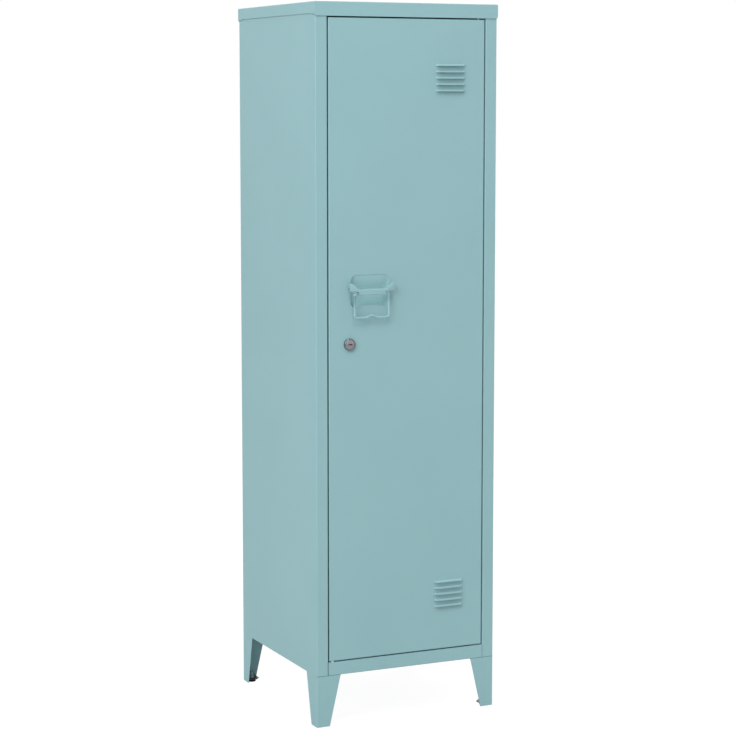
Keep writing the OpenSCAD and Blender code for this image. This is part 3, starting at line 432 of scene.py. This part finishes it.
# Heights and radii of a thread's rings, from start to end
def threadProfile(start, end, outer, depth, pitch):
    rings = []
    count = max(1, round((end - start) / pitch))
    step = (end - start) / count
    for k in range(count):
        rings += [(start + k * step, outer - depth), (start + (k + 0.5) * step, outer)]
    return rings + [(end, outer - depth)]


unturned = (0, 0, 0)
alongY = (-90, 0, 0)  # a shape's top towards the back of the locker
againstY = (90, 0, 0)
overlap = 0.001  # how far a cutting tool stands past what it cuts

rimLook = {
    "radius": 0.0115, "out": 0.0046, "seat": 0.0088, "seatDepth": 0.0024, "seatStep": 0.00002, "bore": 0.0056,
    "barrel": 0.008, "length": 0.016, "chamfer": 0.0005, "shoulder": 0.0031,
    "threadStart": 0.0032, "threadDepth": 0.0004, "threadPitch": 0.001,
    # Back from the front, and in from the radius or out from the seat
    "outerEdge": [(0.0016, 0.0), (0.0010, 0.00015), (0.0005, 0.0005), (0.00015, 0.0010), (0.0, 0.0016)],
    "innerEdge": [(0.00012, 0.0006), (0.0004, 0.0)],
}


def makeLockRim(look):
    out = look["out"]
    radius = look["radius"]
    seat = look["seat"]
    bore = look["bore"]
    barrel = look["barrel"]
    length = look["length"]
    profile = [(back - out, radius - less) for back, less in look["outerEdge"]]
    profile += [(back - out, seat + more) for back, more in look["innerEdge"]]
    profile += [(look["seatDepth"] - out - look["seatStep"], seat), (look["seatDepth"] - out, bore)]
    profile += [(length, bore), (length, barrel - look["chamfer"])]
    profile += threadProfile(look["threadStart"], length - look["chamfer"], barrel, look["threadDepth"],
                             look["threadPitch"])[::-1]
    profile += [(look["shoulder"], barrel), (0.0, barrel), (0.0, radius)]
    piece = turned("lockRim", profile, sides=64, ring=True)
    middle, low, high = solidOf("lock_barrel")
    return settle(piece, alongY, (middle.x, low.y + out, middle.z))


dress(makeLockRim(rimLook), nickelDarkReflection, "door", "lock_rim", "lock_barrel")

plugLook = {"face": 0.0087, "faceDepth": 0.002, "faceEdge": [(0.0, 0.0007), (0.00015, 0.0003), (0.0005, 0.0)],
            "radius": 0.0055, "tang": 0.0035, "tangLength": 0.0023, "tangEdge": 0.0003,
            "keyHalf": 0.004, "keyHigh": 0.0008, "keyDepth": 0.013, "keyEdge": 0.0002,
            "ribAt": 0.0028, "ribRadius": 0.0015}


def makeLockPlug(look):
    middle, low, high = solidOf("lock_plug")
    length = high.y - low.y
    neck = length - look["tangLength"]
    face = look["face"]
    profile = [(back, face - less) for back, less in look["faceEdge"]]
    profile += [(look["faceDepth"], face), (look["faceDepth"], look["radius"]), (neck, look["radius"])]
    piece = turned("lockPlug", profile, sides=64)
    tang = look["tang"]
    carve(piece, roundedBlock("tang", (-tang, -tang, neck - overlap), (tang, tang, length), look["tangEdge"]),
          "UNION")
    slot = roundedBlock("keySlot", (-look["keyHalf"], -look["keyHigh"], -overlap),
                        (look["keyHalf"], look["keyHigh"], look["keyDepth"]), look["keyEdge"])
    rib = turned("keyRib", [(-overlap, look["ribRadius"]), (look["keyDepth"], look["ribRadius"])], sides=24)
    carve(piece, carve(slot, settle(rib, unturned, (look["ribAt"], 0, 0)), "UNION"))
    return settle(piece, alongY, (middle.x, low.y, middle.z))


dress(makeLockPlug(plugLook), plugMetal, "lock_core", "lock_face", "lock_plug")
print("lock made")

panScrewLook = {
    # Shares of the head's height and radius, from its top down
    "head": [(1.0, 0.45), (0.93, 0.66), (0.72, 0.88), (0.4, 1.0), (0.0, 1.0)],
    "recessHalf": 0.48, "recessThin": 0.1, "recessFloor": 0.3, "recessEdge": 0.04,
    # Shares of the shank's radius
    "neck": 0.9, "slim": 0.88, "taper": 0.4, "point": 0.5,
    "neckLength": 0.0004,
}


# Screw with a crossed recess and a plain shank, which is a little thicker halfway
def makePanScrew(name, head, height, shank, length, look=panScrewLook):
    start = -look["neckLength"]
    end = look["taper"] * shank - length
    slim = look["slim"] * shank
    profile = [(up * height, wide * head) for up, wide in look["head"]]
    profile += [(0.0, look["neck"] * shank), (start, slim), ((start + end) / 2, shank), (end, slim),
                (-length, look["point"] * shank)]
    piece = turned(name, profile, sides=32)
    half = look["recessHalf"] * head
    thin = look["recessThin"] * head
    for turn in (0, 90):
        arm = roundedBlock("recess", (-half, -thin, look["recessFloor"] * height),
                           (half, thin, height + overlap), look["recessEdge"] * head)
        carve(piece, settle(arm, (0, 0, turn)))
    return piece


# From the middle of a hexagon to its corner
def cornerRadius(across):
    return across / 2 / math.cos(math.radians(30))


def makeHexPrism(name, across, low, high):
    bpy.ops.object.select_all(action="DESELECT")
    bpy.ops.mesh.primitive_cylinder_add(vertices=6, radius=cornerRadius(across), depth=high - low,
                                        location=(0, 0, (low + high) / 2))
    piece = bpy.context.object
    piece.name = name
    return settle(piece, (0, 0, 90), piece.location.copy())


past = 0.0001  # how far a hexagon stands past its chamfered shape
nutShape = {"cut": 0.1, "top": 0.47, "countersink": 0.0006, "threadStart": 0.0007, "threadDepth": 0.0003}
boltShape = {"cut": 0.14, "top": 0.46, "sunk": 0.5, "root": 0.9, "thread": 0.1, "tip": 0.78,
             "tipLength": 0.0006}


def makeNut(name, across, height, bore, pitch, shape=nutShape):
    wide = cornerRadius(across) + past
    narrow = shape["top"] * across
    cut = shape["cut"] * height
    piece = makeHexPrism(name, across, -past, height + past)
    chamfer = [(0.0, narrow), (cut, wide), (height - cut, wide), (height, narrow)]
    carve(piece, turned("chamfer", chamfer), "INTERSECT")
    start = shape["threadStart"]
    depth = shape["threadDepth"]
    profile = [(-overlap, bore + overlap), (shape["countersink"], bore)]
    profile += threadProfile(start, height - start, bore + depth, depth, pitch)
    profile += [(height - shape["countersink"], bore), (height + overlap, bore + overlap)]
    carve(piece, turned("bore", profile, sides=32))
    return piece


def makeHexBolt(name, across, head, shank, length, pitch, shape=boltShape):
    wide = cornerRadius(across) + past
    piece = makeHexPrism(name, across, -past, head)
    chamfer = [(0.0, shape["top"] * across), (shape["cut"] * head, wide), (head + overlap, wide)]
    carve(piece, turned("chamfer", chamfer), "INTERSECT")
    profile = [(shape["sunk"] * head, shape["root"] * shank)]
    profile += threadProfile(head, length - shape["tipLength"], shank, shape["thread"] * shank, pitch)
    profile += [(length, shape["tip"] * shank)]
    carve(piece, turned("shank", profile, sides=32), "UNION")
    return piece


backScrewLook = {"head": 0.004, "height": 0.0014, "shank": 0.002, "length": 0.008}
handleScrewLook = {"head": 0.00225, "height": 0.0018, "shank": 0.00125, "length": 0.007}
camScrewLook = {"head": 0.004, "height": 0.0024, "shank": 0.002, "length": 0.005}
screwSets = [("back_screws", "backScrews", backScrewLook, "cabinet"),
             ("handle_screws", "handleScrews", handleScrewLook, "door"),
             ("cam_screw", "camScrew", camScrewLook, "lock_core")]
for nodeName, pieceName, look, body in screwSets:
    places = [(alongY, (middle.x, high.y - look["height"], middle.z))
              for middle, low, high in solidsOf(nodeName)]
    screws = spread(pieceName, makePanScrew(pieceName, **look), places)
    dress(screws, zinc, body, "zinc_plate", nodeName)

footNutLook = {"across": 0.010, "height": 0.005, "bore": 0.00308, "pitch": 0.001}
legNutLook = {"across": 0.010, "height": 0.005, "bore": 0.00308, "pitch": 0.001}
capNutLook = {"across": 0.008, "height": 0.004, "bore": 0.00258, "pitch": 0.0008}
nutSets = [("foot_nuts", "footNuts", footNutLook, greySteel, "black_steel"),
           ("leg_nuts", "legNuts", legNutLook, zinc, "zinc_plate"),
           ("cap_nuts", "capNuts", capNutLook, zinc, "zinc_plate")]
for nodeName, pieceName, look, finish, slotName in nutSets:
    places = [(unturned, (middle.x, middle.y, low.z)) for middle, low, high in solidsOf(nodeName)]
    nuts = spread(pieceName, makeNut(pieceName, **look), places)
    dress(nuts, finish, "cabinet", slotName, nodeName)

lockNutLook = {"across": 0.021, "height": 0.003, "bore": 0.00808, "pitch": 0.001}
middle, low, high = solidOf("lock_nut")
lockNut = settle(makeNut("lockNut", **lockNutLook), alongY, (middle.x, low.y, middle.z))
dress(lockNut, zinc, "door", "zinc_plate", "lock_nut")

boltLook = {"across": 0.010, "head": 0.004, "shank": 0.003, "length": 0.012, "pitch": 0.001}
places = [(unturned, (middle.x, middle.y, low.z)) for middle, low, high in solidsOf("leg_bolts")]
bolts = spread("legBolts", makeHexBolt("legBolt", **boltLook), places)
dress(bolts, zinc, "cabinet", "zinc_plate", "leg_bolts")
print("screws, bolts and nuts made")

# Levelling feet: a ribbed disc with a threaded screw moulded into it
footLook = {
    "radius": 0.009, "disc": 0.0032, "notches": 16, "notch": 0.0007, "notchOut": 0.0001,
    "screw": 0.003, "sunk": 0.001, "neck": 0.0027, "threadDepth": 0.0003, "pitch": 0.001,
    "tip": (0.0006, 0.0023),  # length and radius
    # Up from the floor and in from the edge, then down from the top and in from the edge
    "lowEdge": [(0.0, 0.0012), (0.0003, 0.0004), (0.0008, 0.0)],
    "topEdge": [(0.0012, 0.0), (0.0004, 0.0004), (0.0001, 0.0012), (0.0004, 0.0022)],
    "hub": [(0.0004, 0.0052), (0.0, 0.0046)],  # down from the top, and radius
}


def makeFootDisc(name, look):
    radius = look["radius"]
    top = look["disc"]
    profile = [(up, radius - less) for up, less in look["lowEdge"]]
    profile += [(top - down, radius - less) for down, less in look["topEdge"]]
    profile += [(top - down, hubRadius) for down, hubRadius in look["hub"]]
    piece = turned(name, profile, sides=64)
    tools = []
    reach = radius + look["notchOut"]
    for k in range(look["notches"]):
        angle = 2 * math.pi * k / look["notches"]
        rod = turned("notch", [(-overlap, look["notch"]), (top + overlap, look["notch"])], sides=12)
        tools.append(settle(rod, unturned, (reach * math.cos(angle), reach * math.sin(angle), 0)))
    return carve(piece, joinAll("notches", tools))


def makeFootScrew(name, look, length):
    tipLength, tipRadius = look["tip"]
    profile = [(look["disc"] - look["sunk"], look["neck"])]
    profile += threadProfile(look["disc"], length - tipLength, look["screw"], look["threadDepth"],
                             look["pitch"])
    return turned(name, profile + [(length, tipRadius)], sides=32)


for corner in ("front_left", "front_right", "rear_left", "rear_right"):
    name = corner + "_foot"
    middle, low, high = solidOf(name)
    end, side = corner.split("_")
    label = end + side.capitalize()
    under = (middle.x, middle.y, low.z)
    disc = settle(makeFootDisc(label + "FootDisc", footLook), unturned, under)
    dress(disc, blackNylon, name, "black_nylon", name)
    screw = settle(makeFootScrew(label + "FootScrew", footLook, high.z - low.z), unturned, under)
    dress(screw, greySteel, name, "black_steel")
print("levelling feet made")

# Small soft parts on the cabinet
bufferProfile = [(0.0, 0.004), (0.0010, 0.004), (0.0014, 0.0036), (0.0017, 0.0026)]
places = [(againstY, (middle.x, high.y, middle.z)) for middle, low, high in solidsOf("door_buffers")]
buffers = spread("doorBuffers", turned("doorBuffer", bufferProfile, sides=32), places)
dress(buffers, rubber, "cabinet", "black_rubber", "door_buffers")

padEdge = 0.0004
middle, low, high = solidOf("door_rest_pad")
dress(roundedBlock("restPad", low, high, padEdge), whiteNylon, "cabinet", "white_nylon", "door_rest_pad")

softLook = {"merge": 0.000005, "flat": 1.5, "sharp": 35, "segments": 2}


# Merged copy of a frame node, with its edges rounded by the given radius
def softened(name, nodeName, radius, look):
    source = nodes[nodeName]
    piece = source.copy()
    piece.data = source.data.copy()
    piece.parent = None
    bpy.context.scene.collection.objects.link(piece)
    piece.matrix_world = source.matrix_world.copy()
    piece.name = name
    # The frame's own notes on the node don't belong to the copy
    for key in list(piece.keys()):
        del piece[key]
    pick(piece)
    bpy.ops.object.transform_apply(location=True, rotation=True, scale=True)
    bpy.ops.object.mode_set(mode="EDIT")
    bpy.ops.mesh.select_all(action="SELECT")
    bpy.ops.mesh.remove_doubles(threshold=look["merge"])
    bpy.ops.mesh.dissolve_limited(angle_limit=math.radians(look["flat"]))
    bpy.ops.mesh.select_all(action="SELECT")
    bpy.ops.mesh.normals_make_consistent(inside=False)
    bpy.ops.object.mode_set(mode="OBJECT")
    if radius:
        modifier = piece.modifiers.new("soft", "BEVEL")
        modifier.width = radius
        modifier.segments = look["segments"]
        modifier.limit_method = "ANGLE"
        modifier.angle_limit = math.radians(look["sharp"])
        bpy.ops.object.modifier_apply(modifier=modifier.name)
    return piece


bracketEdge = 0.0004
bracket = softened("handleBracket", "handle_bracket", bracketEdge, softLook)
dress(bracket, paint, "door", "paint", "handle_bracket")
dress(softened("bail", "handle_bail", 0, softLook), paint, "handle", "paint", "handle_bail")
print("soft parts made")

floorLook = {"size": 60.0, "white": (0.70, 0.70, 0.70), "pale": (0.72, 0.72, 0.72), "toneScale": 2.0,
             "toneStops": [(0.3, 0.0), (0.7, 1.0)], "glow": 0.85, "strength": 1.11}
plainWhite = (1, 1, 1, 1)


def makeFloor(look):
    net = Net(bpy.data.materials.new("studioFloor"))
    tone = net.ramp(net.noise(net.place(), look["toneScale"]), look["toneStops"])
    colour = net.mixColours(tone, look["white"], look["pale"])
    diffuse = net.add("ShaderNodeBsdfDiffuse", None, {"Color": colour})
    glow = net.add("ShaderNodeEmission", None, {"Color": plainWhite, "Strength": look["strength"]})
    share = look["glow"] * net.ray("Is Camera Ray")
    mixed = net.add("ShaderNodeMixShader", None, {0: share, 1: diffuse, 2: glow})
    net.add("ShaderNodeOutputMaterial", None, {"Surface": mixed})
    return net.owner


bpy.ops.object.select_all(action="DESELECT")
bpy.ops.mesh.primitive_plane_add(size=floorLook["size"], location=(0, 0, 0))
floor = bpy.context.object
floor.name = "studioFloor"
floor.data.materials.append(makeFloor(floorLook))

worldLook = {"light": 0.51, "backdrop": 1.0}


# Gives the room's light, and a white backdrop to the camera and to what mirrors or lets through
def makeWorld(look):
    net = Net(bpy.data.worlds.new("studio"))
    room = net.add("ShaderNodeBackground", None, {"Color": plainWhite, "Strength": look["light"]})
    backdrop = net.add("ShaderNodeBackground", None, {"Color": plainWhite, "Strength": look["backdrop"]})
    seen = net.maths("MAXIMUM", net.ray("Is Camera Ray"), net.ray("Is Glossy Ray"))
    seen = net.maths("MAXIMUM", seen, net.ray("Is Transmission Ray"))
    mixed = net.add("ShaderNodeMixShader", None, {0: seen, 1: room, 2: backdrop})
    net.add("ShaderNodeOutputWorld", None, {"Surface": mixed})
    return net.owner


bpy.context.scene.world = makeWorld(worldLook)

lampTarget = (0, 0, 0.75)
lampLooks = {
    "keySoftbox": {"place": (-3.9, -2.5, 3.4), "size": 2.8, "power": 157},
    "topSoftbox": {"place": (-0.8, -3.0, 6.2), "size": 1.8, "power": 114},
    "fillSoftbox": {"place": (3.8, -1.2, 2.2), "size": 2.4, "power": 25},
    "backSoftbox": {"place": (1.5, 3.0, 2.4), "size": 2.4, "power": 45},
}
for name, look in lampLooks.items():
    data = bpy.data.lights.new(name, "AREA")
    data.shape = "RECTANGLE"
    data.size = look["size"]
    data.size_y = look["size"]
    data.energy = look["power"]
    lamp = bpy.data.objects.new(name, data)
    bpy.context.scene.collection.objects.link(lamp)
    lamp.location = look["place"]
    lamp.rotation_euler = (Vector(lampTarget) - Vector(look["place"])).to_track_quat("-Z", "Y").to_euler()
print("studio lit")

shot = {"place": (-1.7801, -3.8446, 1.1888), "turn": 24.889, "tilt": 6.531, "lens": 105.25, "sensor": 36.0,
        "shift": -0.029}
cameraData = bpy.data.cameras.new("studioCamera")
cameraData.lens = shot["lens"]
cameraData.sensor_width = shot["sensor"]
cameraData.shift_y = shot["shift"]
camera = bpy.data.objects.new("studioCamera", cameraData)
bpy.context.scene.collection.objects.link(camera)
camera.location = shot["place"]
camera.rotation_euler = (math.radians(90 - shot["tilt"]), 0, math.radians(-shot["turn"]))
bpy.context.scene.camera = camera
bpy.context.scene.view_settings.view_transform = "Standard"

print("camera set")
